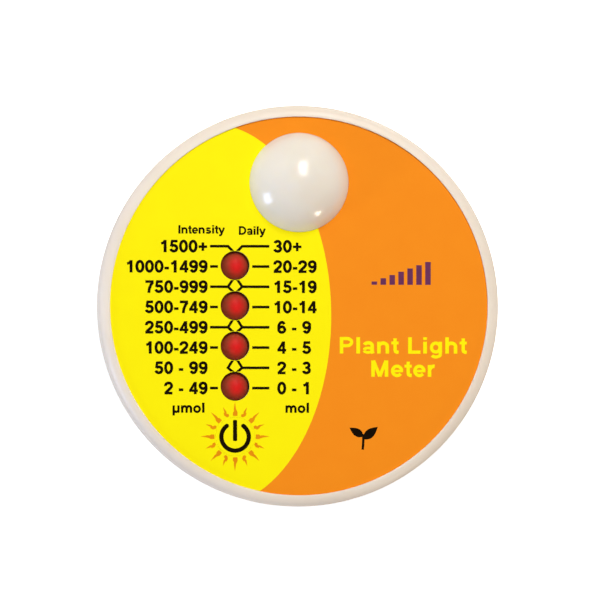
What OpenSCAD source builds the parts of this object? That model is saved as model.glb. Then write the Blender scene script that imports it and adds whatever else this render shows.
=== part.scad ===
// Daily-light meter: a round puck that lies face up, with a diffuser dome, four lamps and a power key.
// +Z is up, out of the face. +Y is the top of the printed scale. The origin is the middle of the rest face.

/* [Case] */
// Outer diameter of the case
case_d = 76; // [75.6:0.1:77]
// Height from the rest face to the top of the rim
case_h = 24; // [24:0.25:26]
// Thickness of the case's side walls
wall = 2.2; // [2.1:0.05:2.3]
// Thickness of the front plate and of the base
plate = 2; // [1.8:0.1:2.1]
// Height of the line where the two case halves meet
split_z = 7.5; // [7.4:0.1:7.8]
// Radius of the rounded rim
rim_r = 2; // [1.6:0.1:2.05]

/* [Face] */
// Diameter of the printed film
film_d = 71.7; // [70.5:0.1:71.7]
// Thickness of the printed film
film_t = 0.25; // [0.2:0.05:0.3]
// How far the rim stands above the film
rim_lip = 0.35; // [0.2:0.05:0.5]

/* [Dome] */
// Diameter of the diffuser dome where it meets the film
dome_d = 18.8; // [17.6:0.1:18.8]
// Height of the dome above the film
dome_rise = 6.2; // [5:0.1:8]
// Wall of the dome
dome_wall = 1.4; // [1:0.1:1.6]
// Distance of the dome from the middle of the face
dome_y = 23.4; // [23:0.1:23.8]

/* [Lamps and key] */
// Diameter of a lamp
lamp_d = 5; // [4.8:0.1:5.2]
// Distance between lamps
lamp_pitch = 7.62; // [7.4:0.01:7.7]
// Distance of the lamp column from the middle, to the left
lamp_left = 12.15; // [12:0.05:12.5]
// Middle of the lamp column along Y
lamp_mid_y = -3.8; // [-3.9:0.1:-3.5]
// Diameter of the power key
key_d = 7.4; // [7:0.1:7.8]
// Distance of the key below the middle of the face
key_down = 24.75; // [24.5:0.05:25]
// Travel of the key
key_travel = 0.3; // [0.2:0.05:0.35]

/* [Underside] */
// Diameter of the stake socket
socket_d = 10; // [8:0.5:10]
// Depth of the stake socket
socket_depth = 15; // [12:0.5:15]
// Distance of the battery cap from the middle
cell_down = 20.2; // [20:0.1:20.3]
// Diameter of the coin cell
cell_d = 20; // [20:0.1:20.1]
// Thickness of the coin cell
cell_t = 3.2; // [3:0.1:3.2]
// Pitch of the battery cap's thread
thread_pitch = 1.8; // [1.7:0.05:1.9]
// Turns of thread
thread_turns = 1.2; // [1:0.1:1.2]

/* [Fasteners] */
// Distance of the case screws from the middle, along X and along Y
screw_xy = 21.5; // [21.2:0.1:21.6]
// Diameter of the case screws
screw_d = 2.6; // [2.2:0.1:2.6]
// Diameter of the case screws' heads
screw_head_d = 5; // [4.6:0.1:5.2]

/* [Hidden] */
$fn = 96;
eps = 0.01;

// Case
case_r = case_d / 2;
split_r = case_r - 0.8;        // the side walls lean in towards the base
waist_z = case_h - 7;          // the front shell's wall is upright above this height
base_edge_r = 2.8;             // rounding of the rear cover's lower edge
base_flat_r = split_r - 0.8 - base_edge_r;
film_z = case_h - rim_lip - film_t;
front_under_z = film_z - plate;
split_chamfer = 0.25;
recess_r = film_d / 2 + 0.1;

// Tongue, gasket and their groove, where the halves meet
tongue_r = split_r - wall - 0.1;
tongue_t = 1.5;
tongue_h = 2;
gasket_r = split_r - 1.2;
gasket_t = 1;

// Circuit board
board_t = 1.6;
board_z = 12;
board_top = board_z + board_t;
board_r = 34.2;
board_post_r = 2.6;
board_screw_r = 0.9;
board_screw_spots = [[27.5, 2], [-27.5, 2], [5, -30.5]];

// Case screws
screw_spots = [for (sx = [-1, 1], sy = [-1, 1]) [sx * screw_xy, sy * screw_xy]];
boss_r = 3.2;
boss_z = split_z + tongue_h;
head_seat_z = 3.4;
head_h = 1.9;
screw_end_z = 17;

// Dome and what holds it
dome_r = dome_d / 2;
face_z = film_z + film_t;
dome_ball_r = (dome_r * dome_r + dome_rise * dome_rise) / (2 * dome_rise);
dome_ball_z = face_z + dome_rise - dome_ball_r;
dome_flange_r = dome_r + 1.9;
dome_seal_t = 0.5;
dome_flange_t = 1.2;
retainer_t = 1.4;
dome_flange_z = front_under_z - dome_seal_t - dome_flange_t;
retainer_z = dome_flange_z - retainer_t;
collar_r = dome_flange_r + 0.2;
collar_t = 1.4;

// Light path under the dome
baffle_r = 6.2;
baffle_bore_r = 5;
baffle_h = 5.4;
filter_r = 5.6;
filter_t = 1;

// Lamps
lamp_r = lamp_d / 2;
lamp_hole_r = lamp_r + 0.25;
lamp_spots = [for (i = [0:3]) [-lamp_left, lamp_mid_y + (1.5 - i) * lamp_pitch]];
lamp_top_z = face_z + 0.25;
lamp_h = 8.6;
lamp_z = lamp_top_z - lamp_h;
lamp_flange_r = lamp_r + 0.4;
lead_w = 0.5;
lead_gap = 2.54;

// Power key and the switch under it
key_spot = [-lamp_left, -key_down];
key_r = key_d / 2;
key_gap = 0.06;                // all round the key, in the film
plunger_gap = 0.08;            // all round the plunger, in the front plate
plunger_flange_r = 4.6;
plunger_flange_t = 1.2;
plunger_foot_r = 2.8;
switch_w = 6;
switch_h = 3.5;
switch_plate_t = 0.3;
switch_bore_r = 2.6;
stem_r = 1.75;
stem_top_z = board_top + 5.4;
stem_flange_z = board_top + 1.5;
snap_base_z = board_top + 0.6;
snap_r = 2.4;
snap_t = 0.12;

// Battery cap: a flange on an O-ring, and a thread inside
cell_spot = [0, -cell_down];
cap_face_z = 0.4;
cap_flange_r = cell_d / 2 + 2;
cap_flange_t = 1.2;
ring_d = 1;
ring_r = cap_flange_r - 0.4;
counterbore_r = cap_flange_r + 0.3;
counterbore_h = cap_face_z + cap_flange_t + ring_d;
thread_bore_r = cell_d / 2 + 1.1;
female_tip_r = cell_d / 2 + 0.35;
male_tip_r = cell_d / 2 + 0.8;
cap_core_r = cell_d / 2 - 0.05;
thread_base_t = 0.75;
thread_tip_t = 0.4;
thread_z = counterbore_h + 0.55;
cell_z = counterbore_h + 3.25;
cell_well_r = cell_d / 2 + 0.3;
cell_well_top = cell_z + cell_t + 0.3;
cell_collar_r = counterbore_r + 1.3;

// Points of an arc, for the outlines that are turned
function arc(x, y, r, from, to, n = 8) =
    [for (i = [0:n]) [x + r * cos(from + (to - from) * i / n), y + r * sin(from + (to - from) * i / n)]];

module at(spot, z = 0) {
    translate([spot[0], spot[1], z]) children();
}

module ring(outer, inner, h) {
    difference() {
        cylinder(r = outer, h = h);
        translate([0, 0, -1]) cylinder(r = inner, h = h + 2);
    }
}

module block(size, z = 0) {
    translate([-size[0] / 2, -size[1] / 2, z]) cube(size);
}

// One ridge of a right-hand thread, from root_r to tip_r, thinned to nothing at both ends
module thread_ridge(root_r, tip_r, start) {
    steps = ceil(thread_turns * 32);
    fade = 4;
    size = [for (i = [0:steps]) min(1, (0.2 + i) / fade, (0.2 + steps - i) / fade)];
    corners = [
        for (i = [0:steps])
        let (a = start + 360 * thread_turns * i / steps)
        let (z = thread_z + thread_pitch * thread_turns * i / steps)
        let (tip = root_r + (tip_r - root_r) * size[i])
        for (c = [[root_r, -thread_base_t], [tip, -thread_tip_t], [tip, thread_tip_t], [root_r, thread_base_t]])
        [c[0] * cos(a), c[0] * sin(a), z + c[1] / 2 * size[i]]
    ];
    out = tip_r > root_r ? 0 : 1;
    sides = [
        for (i = [0:steps - 1], k = [0:3])
        let (a = 4 * i + k, b = 4 * i + (k + 1) % 4)
        each out == 0 ? [[a, b, b + 4], [a, b + 4, a + 4]] : [[b + 4, b, a], [a + 4, b + 4, a]]
    ];
    last = 4 * steps;
    ends = out == 0
        ? [[3, 2, 1], [3, 1, 0], [last, last + 1, last + 2], [last, last + 2, last + 3]]
        : [[1, 2, 3], [0, 1, 3], [last + 2, last + 1, last], [last + 3, last + 2, last]];
    polyhedron(points = corners, faces = concat(sides, ends));
}

// Front shell: the rimmed plate, with bosses, posts and the dome's collar under it
module front_shell_wall() {
    rotate_extrude()
    polygon(concat(
        [[split_r - wall, split_z], [split_r - split_chamfer, split_z], [split_r, split_z + split_chamfer]],
        [[case_r, waist_z]],
        arc(case_r - rim_r, case_h - rim_r, rim_r, 0, 90),
        [[recess_r, case_h], [recess_r, film_z], [0, film_z], [0, front_under_z]],
        [[case_r - wall, front_under_z], [case_r - wall, waist_z]]
    ));
}

module front_shell() {
    color("#efe8da")
    difference() {
        union() {
            front_shell_wall();
            for (s = screw_spots) at(s, boss_z) cylinder(r = boss_r, h = front_under_z - boss_z + eps);
            for (s = board_screw_spots)
                at(s, board_top) cylinder(r = board_post_r, h = front_under_z - board_top + eps);
            at([0, dome_y], retainer_z) cylinder(r = collar_r + collar_t, h = front_under_z - retainer_z + eps);
        }
        for (s = screw_spots) at(s, boss_z - 1) cylinder(r = screw_d / 2, h = screw_end_z + 1 - boss_z + 1);
        for (s = board_screw_spots) at(s, board_top - 1) cylinder(r = board_screw_r, h = 6);
        at([0, dome_y], retainer_z - 1) cylinder(r = collar_r, h = front_under_z - retainer_z + 1);
        at([0, dome_y], front_under_z - 1) cylinder(r = dome_r + 0.1, h = plate + 2);
        for (s = lamp_spots) at(s, front_under_z - 1) cylinder(r = lamp_hole_r, h = plate + 2);
        at(key_spot, front_under_z - 1) cylinder(r = key_r + plunger_gap, h = plate + 2);
    }
}

// Rear cover: the dished base, with screw pillars, the stake socket and the threaded battery collar
module rear_cover_wall() {
    inner_r = split_r - wall;
    rotate_extrude()
    polygon(concat(
        [[0, 0]],
        arc(base_flat_r, base_edge_r, base_edge_r, -90, 0),
        [[split_r, split_z - split_chamfer], [split_r - split_chamfer, split_z]],
        [[gasket_r + gasket_t / 2, split_z], [gasket_r + gasket_t / 2, split_z - gasket_t]],
        [[gasket_r - gasket_t / 2, split_z - gasket_t], [gasket_r - gasket_t / 2, split_z]],
        [[tongue_r, split_z], [tongue_r, boss_z], [tongue_r - tongue_t, boss_z]],
        [[tongue_r - tongue_t, plate + 1], [tongue_r - tongue_t - 1, plate], [0, plate]]
    ));
}

module rear_cover() {
    color("#efe8da")
    difference() {
        union() {
            rear_cover_wall();
            for (s = screw_spots) at(s, 1) cylinder(r = boss_r + 0.2, h = boss_z - 1);
            cylinder(r = socket_d / 2 + 2, h = socket_depth + plate);
            at(cell_spot, 1) cylinder(r = cell_collar_r, h = cell_z + 0.2);
            at(cell_spot, 1) cylinder(r = cell_well_r + 1.7, h = cell_well_top - 1);
        }
        for (s = screw_spots) {
            at(s, -1) cylinder(r = screw_head_d / 2 + 0.4, h = head_seat_z + 1);
            at(s, 0) cylinder(r = screw_d / 2 + 0.15, h = boss_z + 1);
        }
        translate([0, 0, -1]) cylinder(r = socket_d / 2, h = socket_depth + 1);
        translate([0, 0, -eps]) cylinder(r1 = socket_d / 2 + 0.6 + eps, r2 = socket_d / 2, h = 0.6 + eps);
        at(cell_spot, -1) cylinder(r = counterbore_r, h = counterbore_h + 1);
        at(cell_spot, 0) cylinder(r = thread_bore_r, h = cell_z);
        at(cell_spot, 0) cylinder(r = cell_well_r, h = 20);
    }
    color("#efe8da") at(cell_spot) thread_ridge(thread_bore_r + 0.4, female_tip_r, 180);
}

module case_gasket() {
    color("#3b3b3d") translate([0, 0, split_z - gasket_t])
        ring(gasket_r + gasket_t / 2, gasket_r - gasket_t / 2, gasket_t);
}

module face_film() {
    color("#fff200")
    difference() {
        translate([0, 0, film_z]) cylinder(d = film_d, h = film_t);
        at([0, dome_y], film_z - 1) cylinder(r = dome_r + 0.1, h = 3);
        for (s = lamp_spots) at(s, film_z - 1) cylinder(r = lamp_hole_r, h = 3);
        at(key_spot, film_z - 1) cylinder(r = key_r + key_gap, h = 3);
    }
}

module case_screws() {
    slot = [screw_head_d * 0.6, 0.7, 1.1];
    color("silver")
    for (s = screw_spots) at(s) difference() {
        union() {
            translate([0, 0, head_seat_z - 0.5]) cylinder(d = screw_d, h = screw_end_z - head_seat_z + 0.5);
            translate([0, 0, head_seat_z - head_h]) rotate_extrude() polygon(concat(
                [[0, 0]],
                arc(screw_head_d / 2 - 0.9, 0.9, 0.9, -90, 0, 4),
                [[screw_head_d / 2, head_h], [0, head_h]]
            ));
        }
        for (turn = [0, 90]) rotate(turn) block(slot, head_seat_z - head_h - eps);
    }
}

// Dome: a hollow ball segment on a short skirt, with a flange that the retainer clamps
module diffuser_dome() {
    edge = asin(dome_r / dome_ball_r);
    inner = dome_ball_r - dome_wall;
    inner_r = dome_r - dome_wall;
    inner_edge = asin(inner_r / inner);
    color("#f2ede2") at([0, dome_y]) rotate_extrude() polygon(concat(
        [[dome_flange_r, dome_flange_z], [dome_flange_r, dome_flange_z + dome_flange_t]],
        [[dome_r, dome_flange_z + dome_flange_t]],
        arc(0, dome_ball_z, dome_ball_r, 90 - edge, 90, 20),
        arc(0, dome_ball_z, inner, 90, 90 - inner_edge, 20),
        [[inner_r, dome_flange_z]]
    ));
}

module dome_seal() {
    color("#d9d4c8") at([0, dome_y], front_under_z - dome_seal_t)
        ring(dome_flange_r, dome_r + 0.2, dome_seal_t);
}

module dome_retainer() {
    color("#2b2b2d") at([0, dome_y], retainer_z) ring(collar_r, dome_r - 0.7, retainer_t);
}

module optical_filter() {
    color([0.55, 0.75, 0.7, 0.5]) at([0, dome_y], board_top + baffle_h - filter_t)
        cylinder(r = filter_r, h = filter_t);
}

module light_baffle() {
    color("#1c1c1e") at([0, dome_y], board_top) difference() {
        union() {
            cylinder(r = baffle_r, h = baffle_h);
            cylinder(r = baffle_r + 0.9, h = 0.8);
        }
        translate([0, 0, -1]) cylinder(r = baffle_bore_r, h = baffle_h + 2);
        translate([0, 0, baffle_h - filter_t]) cylinder(r = filter_r, h = filter_t + 1);
    }
}

module photodiode() {
    color("#26262a") at([0, dome_y], board_top) difference() {
        block([5, 5, 1.3]);
        block([3.2, 3.2, 2], 0.9);
    }
}

// A round-topped lamp with a flat on its flange
module lamp(i) {
    color([0.8, 0.05, 0.04]) at(lamp_spots[i], lamp_z) difference() {
        rotate_extrude() polygon(concat(
            [[0, 0], [lamp_flange_r, 0], [lamp_flange_r, 1], [lamp_r, 1]],
            arc(0, lamp_h - lamp_r, lamp_r, 0, 90)
        ));
        translate([lamp_r, -5, -1]) cube([5, 10, 12]);
    }
}

module lamp_lead_posts(w, z, h) {
    for (s = lamp_spots, side = [-1, 1])
        at([s[0] + side * lead_gap / 2, s[1]]) block([w, w, h], z);
}

module lamp_spacers() {
    color("#1f1f21") difference() {
        for (s = lamp_spots) at(s, board_top) cylinder(r = lamp_r + 0.1, h = lamp_z - board_top);
        lamp_lead_posts(lead_w + 0.1, board_top - 1, 5);
    }
}

module lamp_leads() {
    color("#c9c9cc") lamp_lead_posts(lead_w, board_z - 1.4, lamp_z - board_z + 1.4);
}

module key_cap() {
    color("#fff200") at(key_spot, film_z) cylinder(r = key_r, h = film_t);
}

module key_plunger() {
    color("#e8e2d4") at(key_spot) {
        flange_z = front_under_z - 0.05 - plunger_flange_t;
        translate([0, 0, flange_z]) cylinder(r = key_r, h = film_z - flange_z);
        translate([0, 0, flange_z]) cylinder(r = plunger_flange_r, h = plunger_flange_t);
        translate([0, 0, stem_top_z]) cylinder(r = plunger_foot_r, h = flange_z - stem_top_z);
    }
}

module switch_stem() {
    color("#222224") at(key_spot) {
        translate([0, 0, stem_flange_z]) cylinder(r = 2.3, h = 1.65);
        translate([0, 0, stem_flange_z]) cylinder(r = stem_r, h = stem_top_z - stem_flange_z);
    }
}

module switch_snap_dome() {
    rise = stem_flange_z - snap_base_z - snap_t;
    ball = (snap_r * snap_r + rise * rise) / (2 * rise);
    edge = asin(snap_r / ball);
    color("silver") at(key_spot, stem_flange_z - ball) rotate_extrude() polygon(concat(
        arc(0, 0, ball, 90 - edge, 90, 6),
        arc(0, 0, ball - snap_t, 90, 90 - edge, 6)
    ));
}

module switch_plate() {
    color("silver") at(key_spot, board_top + switch_h - switch_plate_t) difference() {
        block([switch_w, switch_w, switch_plate_t]);
        translate([0, 0, -1]) cylinder(r = stem_r + 0.2, h = 3);
    }
}

module switch_body() {
    color("#1d1d1f") at(key_spot, board_top) difference() {
        block([switch_w, switch_w, switch_h - switch_plate_t]);
        translate([0, 0, snap_base_z - board_top]) cylinder(r = switch_bore_r, h = 5);
    }
}

module switch_legs() {
    color("silver") at(key_spot, board_top)
    for (sx = [-1, 1], sy = [-1, 1]) translate([sx * (switch_w / 2 + 0.15), sy * 2.25, 0]) {
        block([0.3, 0.7, 1.6]);
        translate([sx * 0.6, 0, 0]) block([1.2, 0.7, 0.3]);
    }
}

module circuit_board() {
    color("#1f6b3a") difference() {
        translate([0, 0, board_z]) cylinder(r = board_r, h = board_t);
        for (s = screw_spots) at(s, board_z - 1) cylinder(r = boss_r + 0.4, h = 4);
        for (s = board_screw_spots) at(s, board_z - 1) cylinder(r = board_screw_r + 0.2, h = 4);
        translate([0, 0, board_z - 1]) cylinder(r = socket_d / 2 + 2.4, h = 4);
        for (s = lamp_spots, side = [-1, 1])
            at([s[0] + side * lead_gap / 2, s[1]], board_z - 1) cylinder(r = 0.45, h = 4);
    }
}

module board_screws() {
    color("silver") for (s = board_screw_spots) at(s) difference() {
        union() {
            translate([0, 0, board_z]) cylinder(r = board_screw_r, h = 6.2);
            translate([0, 0, board_z - 1.4]) cylinder(r = 1.9, h = 1.4);
        }
        for (turn = [0, 90]) rotate(turn) block([2.4, 0.5, 0.8], board_z - 1.4 - eps);
    }
}

chip_spot = [14.5, 8];
chip_w = 7;
amp_spot = [13.5, 19];
amp_size = [5, 4, 1.4];

module microcontroller() {
    color("#1b1b1d") at(chip_spot, board_top + 0.1) block([chip_w, chip_w, 1]);
}

module amplifier_chip() {
    color("#1b1b1d") at(amp_spot, board_top + 0.1) block(amp_size);
}

// A pin that leaves a chip's side, drops and lies on the board
module gull_pin(w) {
    translate([0, -w / 2, 0.45]) cube([0.4, w, 0.15]);
    translate([0.25, -w / 2, 0]) cube([0.15, w, 0.6]);
    translate([0.25, -w / 2, 0]) cube([0.75, w, 0.15]);
}

module chip_pins() {
    color("#c9c9cc") {
        at(chip_spot, board_top)
        for (turn = [0:90:270], k = [-3.5:3.5])
            rotate(turn) translate([chip_w / 2, k * 0.8, 0]) gull_pin(0.37);
        at(amp_spot, board_top)
        for (turn = [90, 270], k = [-1.5:1.5])
            rotate(turn) translate([amp_size[1] / 2, k * 1.27, 0]) gull_pin(0.42);
    }
}

module watch_crystal() {
    color("silver") at([14.5, 0.5], board_top + 1) {
        rotate([0, 90, 0]) cylinder(r = 1, h = 6, center = true);
        for (y = [-0.35, 0.35]) translate([-4.6, y - 0.1, -0.1]) cube([1.8, 0.2, 0.2]);
    }
}

can_spot = [23.5, 10.5];

module reservoir_capacitor() {
    color("#b9bcc0") at(can_spot, board_top + 0.8) cylinder(r = 3.1, h = 4.8);
}

module capacitor_base() {
    color("#1f1f21") at(can_spot, board_top) block([6.6, 6.6, 0.8]);
}

module chip_resistors() {
    color("#222225") {
        for (s = lamp_spots) at([s[0] - 5.2, s[1]], board_top) block([2, 1.25, 0.5]);
        for (i = [0:2]) at([10 + i * 2.6, 28.4 - i * 1.5], board_top) rotate(60) block([2, 1.25, 0.5]);
    }
}

module chip_capacitors() {
    color("#b08a5a") {
        for (i = [0:2]) at([8.6, 4.4 + i * 3], board_top) block([2, 1.25, 0.8]);
        for (i = [0:1]) at([20.2, 2 + i * 2.6], board_top) block([2, 1.25, 0.8]);
    }
}

// Coin cell: the can faces the cap and the smaller negative face looks up at the spring
module coin_cell() {
    color("#c8cacd") at(cell_spot, cell_z + 0.05) {
        rotate_extrude() polygon(concat(
            [[0, 0]],
            arc(cell_d / 2 - 0.4, 0.4, 0.4, -90, 0, 3),
            [[cell_d / 2, cell_t - 0.6], [cell_d / 2 - 0.5, cell_t - 0.35]],
            [[cell_d / 2 - 1.5, cell_t - 0.35], [cell_d / 2 - 1.7, cell_t - 0.05], [0, cell_t - 0.05]]
        ));
    }
}

module cell_spring_contact() {
    low = cell_z + cell_t + 0.05;
    t = 0.3;
    color("#d8c27a") at(cell_spot) translate([0, 2, 0]) rotate([90, 0, 0]) linear_extrude(4) polygon([
        [-6, board_z - t], [-6, board_z], [-1, board_z], [-0.4, board_z - 0.5],
        [4.6, low + 0.5], [5.6, low + t], [6.8, low + 0.9], [7.1, low + 0.7],
        [5.8, low], [5.2, low], [4.2, low + 0.3], [-1.1, board_z - t]
    ]);
}

module cell_rim_contact() {
    inner = cell_d / 2 + 0.02;
    span = 30;
    color("#d8c27a") at(cell_spot) rotate(-span / 2) {
        rotate_extrude(angle = span) translate([inner, cell_z + 0.4]) square([0.25, board_z - cell_z - 0.4]);
        rotate_extrude(angle = span) translate([inner, board_z - 0.3]) square([2.6, 0.3]);
    }
}

module battery_cap_seal() {
    color("#2a2a2c") at(cell_spot, cap_face_z + cap_flange_t + ring_d / 2)
        rotate_extrude() translate([ring_r, 0]) circle(d = ring_d, $fn = 32);
}

module battery_cap() {
    coin_r = 14;
    slot_w = 2.2;
    slot_deep = 1.7;
    edge = 0.3;
    color("#efe8da") at(cell_spot) difference() {
        union() {
            translate([0, 0, cap_face_z]) rotate_extrude() polygon([
                [0, 0], [cap_flange_r - edge, 0], [cap_flange_r, edge],
                [cap_flange_r, cap_flange_t], [cap_core_r, cap_flange_t],
                [cap_core_r, cell_z - cap_face_z], [0, cell_z - cap_face_z]
            ]);
            thread_ridge(cap_core_r - 0.4, male_tip_r, 0);
        }
        translate([0, slot_w / 2, cap_face_z + slot_deep - coin_r]) rotate([90, 0, 0])
            cylinder(r = coin_r, h = slot_w);
        translate([0, 0, cap_face_z + slot_deep + 1.2]) cylinder(r = cap_core_r - 1.6, h = 10);
        translate([0, cap_flange_r - 2, cap_face_z - 1]) cylinder(r = 0.6, h = 1.3);
    }
}

front_shell();
rear_cover();
case_gasket();
face_film();
case_screws();
diffuser_dome();
dome_seal();
dome_retainer();
optical_filter();
light_baffle();
photodiode();
lamp(0);  // lamp_1
lamp(1);  // lamp_2
lamp(2);  // lamp_3
lamp(3);  // lamp_4
lamp_spacers();
lamp_leads();
key_cap();
key_plunger();
switch_stem();
switch_snap_dome();
switch_plate();
switch_body();
switch_legs();
circuit_board();
board_screws();
microcontroller();
amplifier_chip();
chip_pins();
watch_crystal();
reservoir_capacitor();
capacitor_base();
chip_resistors();
chip_capacitors();
coin_cell();
cell_spring_contact();
cell_rim_contact();
battery_cap_seal();
battery_cap();
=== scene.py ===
"""Looks for the daily light meter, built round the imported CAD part.

Sizes are in millimetres until a mesh is made, and the sizes that repeat the CAD's carry its names.
"""

import math
from itertools import product

import bmesh
import bpy
from mathutils import Matrix, Vector
from mathutils.geometry import delaunay_2d_cdt


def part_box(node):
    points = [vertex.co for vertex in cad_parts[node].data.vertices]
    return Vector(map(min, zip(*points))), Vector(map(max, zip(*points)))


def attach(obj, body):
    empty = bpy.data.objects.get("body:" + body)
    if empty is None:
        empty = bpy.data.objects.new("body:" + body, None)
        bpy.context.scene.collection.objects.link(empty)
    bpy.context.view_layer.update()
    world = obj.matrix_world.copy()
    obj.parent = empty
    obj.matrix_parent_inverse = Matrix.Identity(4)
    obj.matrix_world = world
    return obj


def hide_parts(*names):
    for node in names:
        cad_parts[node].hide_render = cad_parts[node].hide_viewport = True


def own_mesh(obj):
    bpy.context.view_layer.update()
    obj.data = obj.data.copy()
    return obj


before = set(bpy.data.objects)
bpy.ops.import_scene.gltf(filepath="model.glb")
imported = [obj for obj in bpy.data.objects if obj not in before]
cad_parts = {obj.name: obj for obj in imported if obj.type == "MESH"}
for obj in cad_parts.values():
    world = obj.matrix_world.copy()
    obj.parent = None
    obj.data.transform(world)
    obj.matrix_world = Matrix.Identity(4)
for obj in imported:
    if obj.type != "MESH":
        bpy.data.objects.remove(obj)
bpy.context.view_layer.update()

MM = 0.001
BODY = "meter_body"
KEY_BODY = "power_button"
CAP_BODY = "battery_cover"
SEAL_BODY = "battery_seal"
FINE_ROUND = 256  # steps round the face film
ROUND = 192  # steps round a large turned piece
SMALL_ROUND = 96  # steps round a small one
PAST = 1  # how far a cutter runs past what it cuts
SINK = 0.2  # how far a boss runs into the plate that it stands on


def box(node):
    """Lowest and highest corner of a CAD node, in millimetres."""
    low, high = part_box(node)
    return low / MM, high / MM


def centre(node):
    """Middle of a CAD node, seen from above."""
    low, high = box(node)
    return (low.x + high.x) / 2, (low.y + high.y) / 2


# Places that the CAD model gives
shell_low, shell_high = box("front_shell")
film_low, film_high = box("face_film")
dome_low, dome_high = box("diffuser_dome")
cell_low, cell_high = box("coin_cell")
cap_low, cap_high = box("battery_cap")
dome_spot = centre("diffuser_dome")
key_spot = centre("key_cap")
cell_spot = centre("coin_cell")

# Case
CASE_R = shell_high.x
CASE_TOP = shell_high.z
SPLIT_Z = shell_low.z
SPLIT_R = CASE_R - 0.8
WALL = 2.2
WAIST_Z = CASE_TOP - 7
RIM_R = 2.0
EDGE_R = 0.3
BASE_T = 2
BASE_EDGE_R = 2.8
BASE_FLAT_R = SPLIT_R - 0.8 - BASE_EDGE_R
SOCKET_R = 5.0
SOCKET_DEPTH = 15.0

# Face film, and what shows through it
FILM_R = film_high.x
FILM_Z = film_low.z
FACE_Z = film_high.z
PLATE = 2.0
UNDER_Z = FILM_Z - PLATE
RECESS_R = FILM_R + 0.012
DOME_FLANGE = 1.9
DOME_R = (dome_high.x - dome_low.x) / 2 - DOME_FLANGE
DOME_GAP = 0.012
LAMPS = ["lamp_1", "lamp_2", "lamp_3", "lamp_4"]
LAMP_R = 2.5
LAMP_FLANGE_R = 2.9
LAMP_HOLE_R = 2.75
LAMP_GAP = 0.012
LAMP_ROUND = 72
KEY_R = box("key_cap")[1].x - key_spot[0]
KEY_GAP = 0.008
PLUNGER_GAP = 0.08
# A flange is cut flat at its right, so a lamp's middle is measured from its left
lamp_spots = [(box(name)[0].x + LAMP_FLANGE_R, centre(name)[1]) for name in LAMPS]

# Screws
SCREW_XY = 21.5
SCREW_SPOTS = [(sx * SCREW_XY, sy * SCREW_XY) for sx, sy in product((-1, 1), repeat=2)]
SCREW_R = 1.3
SCREW_END_Z = 17.0
HEAD_R = 2.5
HEAD_H = 1.9
HEAD_SEAT_Z = 3.4
BOSS_R = 3.2
BOSS_Z = SPLIT_Z + 2
BOARD_TOP = box("circuit_board")[1].z
BOARD_SCREW_SPOTS = [(27.5, 2), (-27.5, 2), (5, -30.5)]
BOARD_SCREW_R = 0.9
BOARD_POST_R = 2.6

# Battery cap, its bay and its thread
CAP_FACE_Z = cap_low.z
CAP_FLANGE_R = cap_high.x - cell_spot[0]
CAP_FLANGE_T = 1.2
CAP_CORE_R = 9.95
CELL_Z = cap_high.z
CELL_T = 3.2
CELL_BORE_R = 10.3
COUNTERBORE_R = CAP_FLANGE_R + 0.3
COUNTERBORE_H = CAP_FACE_Z + CAP_FLANGE_T + 1
THREAD_BORE_R = 11.1
FEMALE_TIP_R = 10.35
MALE_TIP_R = 10.8
THREAD_Z = COUNTERBORE_H + 0.55
THREAD_PITCH = 1.8
THREAD_TURNS = 1.2
THREAD_BASE_T = 0.75
THREAD_TIP_T = 0.4


# -------------------- mesh tools


def ellipse(x, y, rx, ry, start, end, n=20):
    """Points of an elliptic arc, from start to end degrees."""
    angles = [math.radians(start + (end - start) * i / n) for i in range(n + 1)]
    return [(x + rx * math.cos(a), y + ry * math.sin(a)) for a in angles]


def arc(x, y, r, start, end, n=8):
    """Points of a round arc, from start to end degrees."""
    return ellipse(x, y, r, r, start, end, n)


def circle(x, y, r, n=24):
    """Points of a whole circle, with no point twice."""
    return arc(x, y, r, 0, 360, n)[:-1]


def add_object(name, mesh, spot=(0, 0)):
    """A mesh as an object in the scene, moved to a spot seen from above."""
    obj = bpy.data.objects.new(name, mesh)
    obj.location = (spot[0] * MM, spot[1] * MM, 0)
    bpy.context.scene.collection.objects.link(obj)
    return obj


def mesh_from(name, verts, faces):
    """A mesh from points in millimetres, with its faces turned outwards."""
    mesh = bpy.data.meshes.new(name)
    mesh.from_pydata([tuple(c * MM for c in v) for v in verts], [], faces)
    bm = bmesh.new()
    bm.from_mesh(mesh)
    bmesh.ops.remove_doubles(bm, verts=bm.verts, dist=1e-8)
    bmesh.ops.delete(bm, geom=[v for v in bm.verts if not v.link_faces], context="VERTS")
    bmesh.ops.recalc_face_normals(bm, faces=bm.faces)
    bm.to_mesh(mesh)
    bm.free()
    return mesh


def turned(name, outline, steps=ROUND, spot=(0, 0)):
    """A closed solid turned round a vertical axis from (radius, height) points."""
    verts, faces, rings = [], [], []
    for r, z in outline:
        if r < 1e-6:
            rings.append([len(verts)])
            verts.append((0, 0, z))
        else:
            rings.append(list(range(len(verts), len(verts) + steps)))
            verts += [
                (r * math.cos(2 * math.pi * k / steps), r * math.sin(2 * math.pi * k / steps), z)
                for k in range(steps)
            ]
    for i, ring in enumerate(rings):
        other = rings[(i + 1) % len(rings)]
        if len(ring) == 1 and len(other) == 1:
            continue
        for k in range(steps):
            n = (k + 1) % steps
            corners = [ring[k % len(ring)], ring[n % len(ring)], other[n % len(other)], other[k % len(other)]]
            corners = list(dict.fromkeys(corners))
            if len(corners) > 2:
                faces.append(corners)
    return add_object(name, mesh_from(name, verts, faces), spot)


def rod(name, spot, r, low, high, steps=SMALL_ROUND):
    """An upright cylinder, for adding to a moulding or cutting from one."""
    return turned(name, [(0, low), (r, low), (r, high), (0, high)], steps, spot)


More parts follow.
